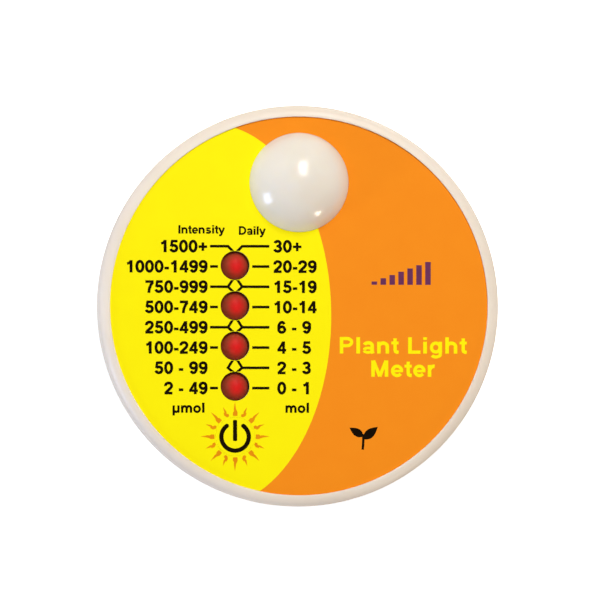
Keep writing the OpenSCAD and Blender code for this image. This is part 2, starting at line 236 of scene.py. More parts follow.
def block(name, size, middle):
    """A box by its size and its middle, for cutting with."""
    x, y, z = (s / 2 for s in size)
    signs = product((-1, 1), repeat=3)
    verts = [(middle[0] + sx * x, middle[1] + sy * y, middle[2] + sz * z) for sx, sy, sz in signs]
    faces = [(0, 1, 3, 2), (4, 6, 7, 5), (0, 4, 5, 1), (2, 3, 7, 6), (0, 2, 6, 4), (1, 5, 7, 3)]
    return add_object(name, mesh_from(name, verts, faces))


def thread_ridge(name, root_r, tip_r, start, spot):
    """One right-hand thread ridge that fades out at both ends."""
    steps, fade = 144, 15
    stub = 0.6  # steps of the fade that are left off, so that each end keeps a small face
    base, crest = THREAD_BASE_T / 2, THREAD_TIP_T / 2
    verts, faces = [], []
    for i in range(steps + 1):
        a = math.radians(start + 360 * THREAD_TURNS * i / steps)
        z = THREAD_Z + THREAD_PITCH * THREAD_TURNS * i / steps
        size = min(1, (stub + i) / fade, (stub + steps - i) / fade)
        tip = root_r + (tip_r - root_r) * size
        for r, t in ((root_r, -base), (tip, -crest), (tip, crest), (root_r, base)):
            verts.append((r * math.cos(a), r * math.sin(a), z + t * size))
    for i in range(steps):
        for k in range(4):
            a, b = 4 * i + k, 4 * i + (k + 1) % 4
            faces.append((a, b, b + 4, a + 4))
    faces += [(0, 1, 2, 3), tuple(4 * steps + k for k in range(4))]
    return add_object(name, mesh_from(name, verts, faces), spot)


def combine(obj, others, operation):
    """obj with the others added to it, cut from it or crossed with it, as one mesh."""
    for other in others:
        modifier = obj.modifiers.new("combine", "BOOLEAN")
        modifier.operation = operation
        modifier.object = other
        modifier.solver = "MANIFOLD"
    bpy.context.view_layer.update()
    evaluated = obj.evaluated_get(bpy.context.evaluated_depsgraph_get())
    mesh = bpy.data.meshes.new_from_object(evaluated)
    obj.modifiers.clear()
    obj.data = mesh
    for other in others:
        bpy.data.objects.remove(other)
    return obj


def add(obj, others):
    """obj with the others added to it."""
    return combine(obj, others, "UNION")


def cut(obj, others):
    """obj with the others cut from it."""
    return combine(obj, others, "DIFFERENCE")


def clean(obj, sharp=32):
    """Merges stray points, then shades the mesh smooth up to an angle in degrees."""
    bm = bmesh.new()
    bm.from_mesh(obj.data)
    bmesh.ops.remove_doubles(bm, verts=bm.verts, dist=2e-7)
    bmesh.ops.dissolve_degenerate(bm, edges=bm.edges, dist=1e-7)
    bm.to_mesh(obj.data)
    bm.free()
    obj.data.polygons.foreach_set("use_smooth", [True] * len(obj.data.polygons))
    obj.data.set_sharp_from_angle(angle=math.radians(sharp))
    return obj


def joined(name, objects):
    """Several meshes as one object, each keeping its materials."""
    bm = bmesh.new()
    materials = []
    for obj in objects:
        part = obj.data.copy()
        part.transform(obj.matrix_basis)
        slots = []
        for material in obj.data.materials:
            if material not in materials:
                materials.append(material)
            slots.append(materials.index(material))
        for face in part.polygons:
            face.material_index = slots[face.material_index] if slots else 0
        bm.from_mesh(part)
        bpy.data.objects.remove(obj)
    mesh = bpy.data.meshes.new(name)
    bm.to_mesh(mesh)
    bm.free()
    for material in materials:
        mesh.materials.append(material)
    return add_object(name, mesh)


def piece(obj, name, body, surface=None, stands_for=()):
    """Names a finished piece and says what it rides on and stands for."""
    obj.name = name
    obj.data.name = name
    if surface is not None:
        obj.data.materials.clear()
        obj.data.materials.append(surface)
    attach(obj, body)
    if stands_for:
        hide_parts(*stands_for)
    return obj


# -------------------- materials


def linear(r, g, b):
    """A colour as printed, from 0 to 255, as the shader's linear one."""
    values = [c / 255 for c in (r, g, b)]
    return [c / 12.92 if c <= 0.04045 else ((c + 0.055) / 1.055) ** 2.4 for c in values] + [1.0]


def fill(node, values):
    """Sets a shader node's inputs by name."""
    for name, value in values.items():
        node.inputs[name].default_value = value
    return node


def new_node(tree, kind, values=None):
    """A new shader node with some of its inputs set."""
    return fill(tree.nodes.new("ShaderNode" + kind), values or {})


def wire(source, output, target, socket):
    """Links one shader node's output to another's input."""
    target.id_data.links.new(source.outputs[output], target.inputs[socket])


def look(
    name,
    colour,
    second=None,
    blotch=300,
    grain=6000,
    rough=0.35,
    rough_span=0.08,
    bump=0.05,
    bump_mm=0.01,
    metallic=0.0,
    specular=0.5,
    coat=0.0,
    coat_rough=0.1,
    glow=0.0,
    glow_mm=(1.0, 0.6, 0.4),
    stretch=(1, 1, 1),
):
    """A moulded, printed or metal surface, in two tones in soft blotches.

    A fine grain varies its roughness and its relief. blotch and grain are noise scales per metre.
    """
    material = bpy.data.materials.new(name)
    material.use_nodes = True
    tree = material.node_tree
    shader = tree.nodes["Principled BSDF"]
    fill(shader, {"Metallic": metallic, "Specular IOR Level": specular})
    fill(shader, {"Coat Weight": coat, "Coat Roughness": coat_rough})
    if glow:
        fill(shader, {"Subsurface Weight": glow, "Subsurface Radius": glow_mm, "Subsurface Scale": MM})

    coords = new_node(tree, "TexCoord")
    mapping = new_node(tree, "Mapping", {"Scale": stretch})
    wire(coords, "Object", mapping, "Vector")
    patches = new_node(tree, "TexNoise", {"Scale": blotch, "Detail": 3})
    fine = new_node(tree, "TexNoise", {"Scale": grain, "Detail": 4})
    for noise in (patches, fine):
        wire(mapping, "Vector", noise, "Vector")

    darker = 0.93  # the second tone's strength, where none is given
    tones = new_node(tree, "Mix")
    tones.data_type = "RGBA"
    fill(tones, {"A": colour, "B": second or [c * darker for c in colour[:3]] + [1.0]})
    spread = new_node(tree, "MapRange", {"From Min": 0.35, "From Max": 0.65})
    wire(patches, "Fac", spread, "Value")
    wire(spread, "Result", tones, "Factor")
    wire(tones, "Result", shader, "Base Color")

    shine_range = {"To Min": max(0.0, rough - rough_span), "To Max": rough + rough_span}
    shine = new_node(tree, "MapRange", shine_range)
    wire(fine, "Fac", shine, "Value")
    wire(shine, "Result", shader, "Roughness")

    relief = new_node(tree, "Bump", {"Strength": bump, "Distance": bump_mm * MM})
    wire(fine, "Fac", relief, "Height")
    wire(relief, "Normal", shader, "Normal")
    return material


def lamp_look():
    """Diffused red epoxy, with a painted bright spot a little right of its middle and painted shade that
    darkens it towards the rim.
    """
    material = look(
        "lamp_red", linear(224, 34, 32), linear(208, 30, 28), blotch=900, grain=9000, rough=0.4,
        rough_span=0.1, bump=0.15, specular=0.08, glow=0.4, glow_mm=(1.0, 0.3, 0.2),
    )
    tree = material.node_tree
    shader = tree.nodes["Principled BSDF"]
    tones = shader.inputs["Base Color"].links[0].from_node
    coords = next(n for n in tree.nodes if n.type == "TEX_COORD")
    # Painted light: the lens is brightest 0.3 mm right of its middle and fades to a painted shade colour at
    # its rim, in place of real light and shade in the lamp's well
    painted_spot_centre = new_node(tree, "Mapping", {"Location": (-0.3 * MM, 0.1 * MM, 0)})
    flat = new_node(tree, "VectorMath")
    flat.operation = "MULTIPLY"
    flat.inputs[1].default_value = (1, 0.85, 0)
    reach = new_node(tree, "VectorMath")
    reach.operation = "LENGTH"
    painted_shade_fall = new_node(tree, "MapRange", {"From Min": 0.4 * MM, "From Max": 2.3 * MM})
    painted_shade_fall.interpolation_type = "SMOOTHSTEP"
    # the brown-red of the painted shade at the lens's rim
    painted_rim_shade = new_node(tree, "Mix")
    painted_rim_shade.data_type = "RGBA"
    fill(painted_rim_shade, {"B": linear(150, 64, 40)})
    wire(coords, "Object", painted_spot_centre, "Vector")
    wire(painted_spot_centre, "Vector", flat, 0)
    wire(flat, "Vector", reach, 0)
    wire(reach, "Value", painted_shade_fall, "Value")
    wire(painted_shade_fall, "Result", painted_rim_shade, "Factor")
    wire(tones, "Result", painted_rim_shade, "A")
    wire(painted_rim_shade, "Result", shader, "Base Color")
    return material


def film_print(name, colour, second):
    """A printed colour under the film's clear, barely shining face."""
    return look(
        name, colour, second, blotch=220, grain=9000, rough=0.42, rough_span=0.06, bump=0.05,
        bump_mm=0.004, specular=0.06,
    )


def ink(name, colour, second, rough, specular):
    """An ink laid on the film."""
    return look(
        name, colour, second, blotch=500, grain=9000, rough=rough, rough_span=0.06, bump=0.05,
        bump_mm=0.003, specular=specular,
    )


case_look = look(
    "case_plastic", linear(236, 224, 209), linear(232, 219, 203), blotch=60, grain=5000, rough=0.4,
    rough_span=0.06, bump=0.06, specular=0.42, glow=0.12, glow_mm=(1.6, 1.2, 0.9),
)
dome_look = look(
    "diffuser", linear(236, 228, 216), linear(233, 224, 211), blotch=110, grain=4000, rough=0.22,
    rough_span=0.04, bump=0.04, specular=0.45, coat=0.1, coat_rough=0.08, glow=0.35, glow_mm=(2.5, 2.0, 1.4),
)
yellow_look = film_print("print_yellow", linear(253, 240, 1), linear(252, 238, 1))
orange_look = film_print("print_orange", linear(245, 142, 24), linear(244, 140, 23))
black_ink = ink("ink_black", linear(20, 11, 2), linear(25, 15, 4), 0.5, 0.02)
orange_ink = ink("ink_orange", linear(234, 148, 10), linear(226, 138, 10), 0.45, 0.05)
plum_ink = ink("ink_plum", linear(102, 38, 84), linear(94, 34, 78), 0.48, 0.2)
red_look = lamp_look()
rubber_look = look("seal_rubber", linear(34, 34, 36), blotch=400, rough=0.62, bump=0.1)
black_look = look("black_plastic", linear(28, 28, 30), blotch=400, rough=0.45, bump=0.12)
steel_look = look(
    "screw_steel", linear(186, 186, 188), linear(168, 169, 172), blotch=900, grain=7000, rough=0.3,
    metallic=1.0, bump=0.08,
)
cell_look = look(
    "cell_steel", linear(205, 206, 208), linear(190, 191, 194), blotch=60, grain=3000, rough=0.24,
    metallic=1.0, bump=0.1, stretch=(1, 12, 1),
)
plated_look = look("plated_metal", linear(204, 204, 206), blotch=900, rough=0.3, metallic=1.0)
can_look = look(
    "can_aluminium", linear(202, 204, 208), blotch=300, rough=0.32, metallic=1.0, stretch=(1, 1, 8)
)
bronze_look = look("contact_bronze", linear(206, 172, 112), blotch=700, rough=0.28, metallic=1.0)
board_look = look(
    "board_laminate", linear(28, 104, 56), linear(20, 84, 46), blotch=900, grain=3500, rough=0.34,
    coat=0.4, bump=0.15,
)
ceramic_look = look("ceramic", linear(184, 146, 98), blotch=2000, rough=0.5)
filter_look = look("filter_glass", linear(120, 160, 150), blotch=200, rough=0.06, bump=0.0)
fill(filter_look.node_tree.nodes["Principled BSDF"], {"Transmission Weight": 0.7})


# -------------------- case


def front_shell():
    """Upper half of the case: side, rounded rim, recess for the film, bosses and posts under its plate."""
    inner_r, fillet = SPLIT_R - WALL, 0.07
    foot_z = SPLIT_Z + EDGE_R
    thirds = (0.34, 0.67)  # heights of the leaning side's two middle rings
    shell = turned(
        "front_shell_body",
        [(inner_r, SPLIT_Z), (SPLIT_R - EDGE_R, SPLIT_Z)]
        + arc(SPLIT_R - EDGE_R, foot_z, EDGE_R, -80, 0, 5)
        + [(SPLIT_R + (CASE_R - SPLIT_R) * t, foot_z + (WAIST_Z - foot_z) * t) for t in thirds]
        + [(CASE_R, WAIST_Z)]
        + arc(CASE_R - RIM_R, CASE_TOP - RIM_R, RIM_R, 0, 84, 20)
        + arc(RECESS_R + fillet, CASE_TOP - fillet, fillet, 90, 180, 5)
        + [(RECESS_R, FILM_Z), (0, FILM_Z), (0, UNDER_Z)]
        + [(CASE_R - WALL, UNDER_Z), (CASE_R - WALL, WAIST_Z)],
    )
    extra = [rod("boss", spot, BOSS_R, BOSS_Z, UNDER_Z + SINK) for spot in SCREW_SPOTS]
    extra += [rod("post", spot, BOARD_POST_R, BOARD_TOP, UNDER_Z + SINK) for spot in BOARD_SCREW_SPOTS]
    collar_low = box("dome_retainer")[0].z
    collar_r, collar_bore_r = DOME_R + 3.5, DOME_R + 2.1
    extra.append(rod("collar", dome_spot, collar_r, collar_low, UNDER_Z + SINK))
    add(shell, extra)
    pilot_deep = 5
    holes = [rod("pilot", spot, SCREW_R, BOSS_Z - PAST, SCREW_END_Z + 1) for spot in SCREW_SPOTS]
    holes += [
        rod("pilot", spot, BOARD_SCREW_R, BOARD_TOP - PAST, BOARD_TOP + pilot_deep)
        for spot in BOARD_SCREW_SPOTS
    ]
    holes += [rod("lamp_hole", spot, LAMP_HOLE_R, UNDER_Z - PAST, FACE_Z + PAST) for spot in lamp_spots]
    holes.append(rod("key_hole", key_spot, KEY_R + PLUNGER_GAP, UNDER_Z - PAST, FACE_Z + PAST))
    bay = turned(
        "dome_bay",
        [(0, collar_low - PAST), (collar_bore_r, collar_low - PAST), (collar_bore_r, UNDER_Z)]
        + [(DOME_R + DOME_GAP, UNDER_Z), (DOME_R + DOME_GAP, FACE_Z + PAST), (0, FACE_Z + PAST)],
        SMALL_ROUND,
        dome_spot,
    )
    cut(shell, [*holes, bay])
    piece(clean(shell), "front_shell_moulding", BODY, case_look, ["front_shell"])


def mouth(spot, r, depth, edge):
    """A cutter for a hole in the rest face, whose mouth is rounded over."""
    rounded = arc(r + edge, edge, edge, -90, -180, 5)
    outline = [(0, -PAST), (r + edge, -PAST), *rounded, (r, depth), (0, depth)]
    return turned("mouth", outline, SMALL_ROUND, spot)


def rear_cover():
    """Lower half of the case: base, tongue, gasket groove, screw pillars, stake socket and battery bay."""
    gasket_t = 1.0
    groove_r, groove_z = SPLIT_R - 1.2, SPLIT_Z - gasket_t
    groove_in, groove_out = groove_r - gasket_t / 2, groove_r + gasket_t / 2
    tongue_r = SPLIT_R - WALL - 0.1
    inner_r = tongue_r - 1.5
    cover = turned(
        "rear_cover_body",
        [(0, 0)]
        + arc(BASE_FLAT_R, BASE_EDGE_R, BASE_EDGE_R, -90, 0, 20)
        + arc(SPLIT_R - EDGE_R, SPLIT_Z - EDGE_R, EDGE_R, 0, 80, 5)
        + [(SPLIT_R - EDGE_R - 0.05, SPLIT_Z)]
        + [(groove_out, SPLIT_Z), (groove_out, groove_z), (groove_in, groove_z), (groove_in, SPLIT_Z)]
        + [(tongue_r, SPLIT_Z), (tongue_r, BOSS_Z - EDGE_R), (tongue_r - EDGE_R, BOSS_Z), (inner_r, BOSS_Z)]
        + [(inner_r, BASE_T + 1), (inner_r - 1, BASE_T), (0, BASE_T)],
    )
    root_z = BASE_T / 2  # where what stands on the base starts
    collar_r, collar_top = 13.6, CELL_Z + 1.2
    well_r, well_top = 12, CELL_Z + CELL_T + 0.3
    extra = [rod("pillar", spot, BOSS_R + 0.2, root_z, BOSS_Z) for spot in SCREW_SPOTS]
    extra.append(rod("socket_boss", (0, 0), SOCKET_R + 2, root_z, box("rear_cover")[1].z))
    extra.append(rod("cell_collar", cell_spot, collar_r, root_z, collar_top, ROUND))
    extra.append(rod("cell_well", cell_spot, well_r, root_z, well_top, ROUND))
    add(cover, extra)
    bay_edge, bay_top = 0.4, 20
    bay = turned(
        "cell_bay",
        [(0, -PAST), (COUNTERBORE_R + bay_edge, -PAST)]
        + arc(COUNTERBORE_R + bay_edge, bay_edge, bay_edge, -90, -180, 6)
        + [(COUNTERBORE_R, COUNTERBORE_H), (THREAD_BORE_R, COUNTERBORE_H), (THREAD_BORE_R, CELL_Z)]
        + [(CELL_BORE_R, CELL_Z), (CELL_BORE_R, bay_top), (0, bay_top)],
        ROUND,
        cell_spot,
    )
    cutters = [bay, mouth((0, 0), SOCKET_R, SOCKET_DEPTH, 0.6)]
    for spot in SCREW_SPOTS:
        cutters.append(mouth(spot, HEAD_R + 0.4, HEAD_SEAT_Z, 0.25))
        cutters.append(rod("screw_hole", spot, SCREW_R + 0.15, root_z, BOSS_Z + PAST))
    cut(cover, cutters)
    add(cover, [thread_ridge("female_ridge", THREAD_BORE_R + 0.4, FEMALE_TIP_R, 180, cell_spot)])
    piece(clean(cover), "rear_cover_moulding", BODY, case_look, ["rear_cover"])


def film_disc(name, r, edge, steps, spot=(0, 0)):
    """A disc as thick as the face film, with its upper edge broken."""
    outline = [(0, FILM_Z), (r, FILM_Z), (r, FACE_Z - edge), (r - edge, FACE_Z), (0, FACE_Z)]
    return turned(name, outline, steps, spot)


def face_film():
    """The printed film, split along the elliptic curve where its two colours meet."""

    def film(name):
        """The whole film with its holes."""
        holes = [rod("lamp_hole", spot, LAMP_HOLE_R, FILM_Z - PAST, FACE_Z + PAST) for spot in lamp_spots]
        holes.append(rod("dome_hole", dome_spot, DOME_R + DOME_GAP, FILM_Z - PAST, FACE_Z + PAST))
        holes.append(rod("key_hole", key_spot, KEY_R + KEY_GAP, FILM_Z - PAST, FACE_Z + PAST))
        return cut(film_disc(name, FILM_R, 0.05, FINE_ROUND), holes)

    def sweep(margin):
        """A tall elliptic block over the yellow side."""
        middle, half_wide, half_tall = (-16.6, -1.88), 22.7, 36.25
        side = rod("sweep", middle, 1, 20, 30, 2 * FINE_ROUND)
        side.data.transform(Matrix.Diagonal((half_wide + margin, half_tall + margin, 1, 1)))
        return side

    hairline = 0.004  # keeps the two colours' walls from lying in each other
    yellow = combine(film("film_yellow"), [sweep(0)], "INTERSECT")
    orange = cut(film("film_orange"), [sweep(hairline)])
    for part, colour in ((yellow, yellow_look), (orange, orange_look)):
        part.data.materials.clear()
        part.data.materials.append(colour)
        clean(part)
    both = joined("face_film_print", [yellow, orange])
    piece(both, "face_film_print", BODY, None, ["face_film"])


def screw(name, spot):
    """A pan-head screw seen from below, with a cross recess that narrows inwards."""
    low = HEAD_SEAT_Z - HEAD_H
    head_round, seat_edge, tip = 1.1, 0.08, 0.4
    body = turned(
        name,
        [(0, low)]
        + arc(HEAD_R - head_round, low + head_round, head_round, -84, 0, 10)
        + [(HEAD_R, HEAD_SEAT_Z - seat_edge), (HEAD_R - seat_edge, HEAD_SEAT_Z), (SCREW_R, HEAD_SEAT_Z)]
        + [(SCREW_R, SCREW_END_Z - tip), (SCREW_R - tip, SCREW_END_Z), (0, SCREW_END_Z)],
        SMALL_ROUND,
        spot,
    )
    arm_long, arm_wide, recess, askew = 1.5, 0.42, 1.2, 20
    faces = [(0, 1, 2, 3), (4, 5, 6, 7), (0, 1, 5, 4), (1, 2, 6, 5), (2, 3, 7, 6), (3, 0, 4, 7)]
    arms = []
    for turn in (0, 90):
        verts = []
        for z, k in ((low - 0.1, 1.0), (low + recess, 0.45)):
            x, y = arm_long * k, arm_wide * (0.6 + 0.4 * k)
            verts += [(-x, -y, z), (x, -y, z), (x, y, z), (-x, y, z)]
        arm = add_object("arm", mesh_from("arm", verts, faces), spot)
        arm.data.transform(Matrix.Rotation(math.radians(turn + askew), 4, "Z"))
        arms.append(arm)
    return cut(body, arms)


def case_screws():
    """The four screws that hold the halves together, as one piece."""
    screws = joined("case_screw_set", [clean(screw("screw", spot)) for spot in SCREW_SPOTS])
    piece(screws, "case_screw_set", BODY, steel_look, ["case_screws"])


# -------------------- dome, lamps and key


def cap_radius(r, rise):
    """Radius of the ball whose cap has this radius at its foot and this rise."""
    return (r**2 + rise**2) / (2 * rise)


def diffuser_dome():
    """A hollow cap of a ball, on a flange that the retainer holds."""
    ball_r = cap_radius(DOME_R, dome_high.z - FACE_Z)
    ball_z = dome_high.z - ball_r
    edge = math.degrees(math.asin(DOME_R / ball_r))
    wall, flange_t = 1.4, 1.2
    inner, inner_r = ball_r - wall, DOME_R - wall
    inner_edge = math.degrees(math.asin(inner_r / inner))
    flange_r, flange_z = DOME_R + DOME_FLANGE, dome_low.z
    dome = turned(
        "diffuser_dome_body",
        [(flange_r, flange_z), (flange_r, flange_z + flange_t), (DOME_R, flange_z + flange_t)]
        + arc(0, ball_z, ball_r, 90 - edge, 90, 48)[:-1]
        + [(0, dome_high.z)]
        + [(0, ball_z + inner)]
        + arc(0, ball_z, inner, 90, 90 - inner_edge, 32)[1:]
        + [(inner_r, flange_z)],
        160,
        dome_spot,
    )
    piece(clean(dome), "diffuser_dome_moulding", BODY, dome_look, ["diffuser_dome"])


def lamp(name, spot):
    """A round-topped lamp, whose flange has a flat and whose lens fills its hole in the film."""
    low, high = box(name)
    shoulder = high.z - LAMP_R
    skirt_r = LAMP_HOLE_R - LAMP_GAP
    flange_t, flange_edge = 1, 0.08
    edge_r = LAMP_FLANGE_R - flange_edge
    lens = turned(
        name + "_body",
        [(0, low.z), (edge_r, low.z)]
        + arc(edge_r, low.z + flange_edge, flange_edge, -90, 0, 3)
        + arc(edge_r, low.z + flange_t - flange_edge, flange_edge, 0, 90, 3)
        + [(LAMP_R, low.z + flange_t), (LAMP_R, shoulder - 1.5), (skirt_r, shoulder - 1.2)]
        + ellipse(0, shoulder, skirt_r, LAMP_R, 0, 90, 24)[:-1]
        + [(0, high.z)],
        LAMP_ROUND,
        spot,
    )
    flat = block("flat", (10, 10, 30), (LAMP_R + 5, 0, low.z))
    flat.location = lens.location
    cut(lens, [flat])
    piece(clean(lens), name + "_lens", BODY, red_look, [name])


def key():
    """The round patch of the film that goes down over the plunger."""
    cap = film_disc("key_cap_body", KEY_R, 0.04, SMALL_ROUND, key_spot)
    piece(clean(cap), "key_cap_print", KEY_BODY, yellow_look, ["key_cap"])


# -------------------- battery cap, cell and switch


def battery_cap():
    """The threaded cap, hollow inside, with a coin slot and a dot that marks where it closes."""
    face, edge, rim_t, floor_t = CAP_FACE_Z, 0.35, 1.6, 1.2
    slot_r, slot_deep, slot_w, slot_edge = 14.0, 1.7, 2.2, 0.3
    hollow_z = face + slot_deep + floor_t
    cap = turned(
        "battery_cap_body",
        [(0, face)]
        + arc(CAP_FLANGE_R - edge, face + edge, edge, -90, 0, 6)
        + [(CAP_FLANGE_R, face + CAP_FLANGE_T), (CAP_CORE_R, face + CAP_FLANGE_T)]
        + [(CAP_CORE_R, CELL_Z - 0.3), (CAP_CORE_R - 0.3, CELL_Z), (CAP_CORE_R - rim_t, CELL_Z)]
        + [(CAP_CORE_R - rim_t, hollow_z), (0, hollow_z)],
        ROUND,
        cell_spot,
    )
    add(cap, [thread_ridge("male_ridge", CAP_CORE_R - 0.4, MALE_TIP_R, 0, cell_spot)])
    half = slot_w / 2
    coin = turned(
        "coin",
        [(0, -half), (slot_r - slot_edge, -half), (slot_r, -half + slot_edge)]
        + [(slot_r, half - slot_edge), (slot_r - slot_edge, half), (0, half)],
        FINE_ROUND,
    )
    coin.data.transform(Matrix.Rotation(math.radians(90), 4, "X"))
    coin.location = (cell_spot[0] * MM, cell_spot[1] * MM, (face + slot_deep - slot_r) * MM)
    dot_r, dot_round = 0.6, 0.15
    dot = turned(
        "dot",
        [(0, face - PAST), (dot_r, face - PAST), (dot_r, face + dot_round)]
        + arc(dot_r - dot_round, face + dot_round, dot_round, 0, 90, 3)
        + [(0, face + 2 * dot_round)],
        32,
        (cell_spot[0], cell_spot[1] + CAP_FLANGE_R - 2),
    )
    cut(cap, [coin, dot])
    piece(clean(cap), "battery_cap_moulding", CAP_BODY, case_look, ["battery_cap"])


def cap_seal():
    """The O-ring under the cap's flange."""
    low, high = box("battery_cap_seal")
    middle, thick_r = (low.z + high.z) / 2, (high.z - low.z) / 2
    ring_r = high.x - cell_spot[0] - thick_r
    ring = turned("cap_seal_body", circle(ring_r, middle, thick_r), ROUND, cell_spot)
    piece(clean(ring, 80), "cap_seal_ring", SEAL_BODY, rubber_look, ["battery_cap_seal"])


def coin_cell():
    """A coin cell with its wide can down, marked with a plus, and its narrower cap in a crimped rim."""
    low, high = cell_low.z, cell_high.z
    r = cell_high.x - cell_spot[0]
    can_edge, sunk = 0.5, 0.04
    can = turned(
        "coin_cell_body",
        [(0, low + sunk), (r - 3.2, low + sunk), (r - 3.0, low)]
        + arc(r - can_edge, low + can_edge, can_edge, -90, 0, 6)
        + [(r, high - 0.62), (r - 0.12, high - 0.4), (r - 0.5, high - 0.32), (r - 1.45, high - 0.3)]
        + [(r - 1.55, high - 0.1), (r - 1.75, high), (0, high)],
        ROUND,
        cell_spot,
    )
    long, wide, deep = 4, 0.9, 0.16
    middle = (cell_spot[0], cell_spot[1], low)
    plus = [block("bar", size, middle) for size in ((long, wide, deep), (wide, long, deep))]
    cut(can, plus)
    piece(clean(can), "coin_cell_can", BODY, cell_look, ["coin_cell"])


def snap_dome():
    """The switch's sprung disc, a thin cap of a ball, built at rest."""
    low, high = box("switch_snap_dome")
    spot = centre("switch_snap_dome")
    thick, foot_z, travel = 0.12, BOARD_TOP + 0.6, 0.306
    r = (high.x - low.x) / 2
    ball_r = cap_radius(r, high.z - foot_z - thick)
    ball_z = high.z - ball_r
    edge = math.degrees(math.asin(r / ball_r))
    disc = turned(
        "snap_dome_body",
        arc(0, ball_z, ball_r, 90 - edge, 90, 12)[:-1]
        + [(0, high.z), (0, high.z - thick)]
        + arc(0, ball_z, ball_r - thick, 90, 90 - edge, 12)[1:],
        SMALL_ROUND,
        spot,
    )
    piece(clean(disc), "snap_dome_disc", BODY, plated_look, ["switch_snap_dome"])
    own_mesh(disc)


# -------------------- printed marks

INK_LOW = FACE_Z - 0.02
INK_TOP = FACE_Z + 0.012


def stroke(points, width, closed=False, level=False):
    """A line of a given width, as the four-sided polygons along it. level cuts its slanted ends level."""
    count = len(points)
    sides = []
    for i, p in enumerate(points):
        before = points[(i - 1) % count] if closed or i else None
        after = points[(i + 1) % count] if closed or i < count - 1 else None
        directions = []
        for a, b in ((before, p), (p, after)):
            if a is not None and b is not None:
                directions.append((Vector(b) - Vector(a)).normalized())
        along = sum(directions, Vector((0, 0))).normalized()
        lean = max(0.5, along.dot(directions[0]))  # how much a bend widens the line across it, up to twice
        across = Vector((-along.y, along.x)) * (width / 2 / lean)
        if level and i in (0, count - 1) and along.y:
            across = Vector((-width / 2 / along.y, 0))
        sides.append((Vector(p) + across, Vector(p) - across))
    pairs = list(zip(sides, sides[1:] + sides[:1] if closed else sides[1:]))
    return [[a[0], a[1], b[1], b[0]] for a, b in pairs]


# Lettering: plain upright signs as centre lines, for a capital one unit high. A stroke is its points,
# its width and whether it closes.
BOLD = 0.19
THIN = 0.165
FIGURE_W = 0.776  # room that a figure takes
X_HEIGHT = 0.725


def ring(x, y, rx, ry, w=BOLD):
    """A closed oval."""
    return ellipse(x, y, rx, ry, 0, 360, 30)[:-1], w, True


def line(*points, w=BOLD):
    """An open stroke through points."""
    return list(points), w, False


def bow(x, y, rx, ry, start, end, w=BOLD, n=20):
    """An open stroke along an elliptic arc."""
    return ellipse(x, y, rx, ry, start, end, n), w, False


def stem(x, top=1, w=BOLD):
    """An upright from the baseline."""
    return line((x, 0), (x, top), w=w)


def arch(x, rx):
    """The right leg and the shoulder of n, h and m."""
    return line((x, 0), *ellipse(x - rx, 0.43, rx, 0.205, 0, 175))


def belly(start_x, x, y, rx, ry):
    """The bow of D and P, out from the stem and back to it."""
    half_turn = ellipse(x, y, rx, ry, 88, -88)
    return line((0.12, y + ry), (start_x, y + ry), *half_turn, (start_x, y - ry), (0.12, y - ry), w=0.176)


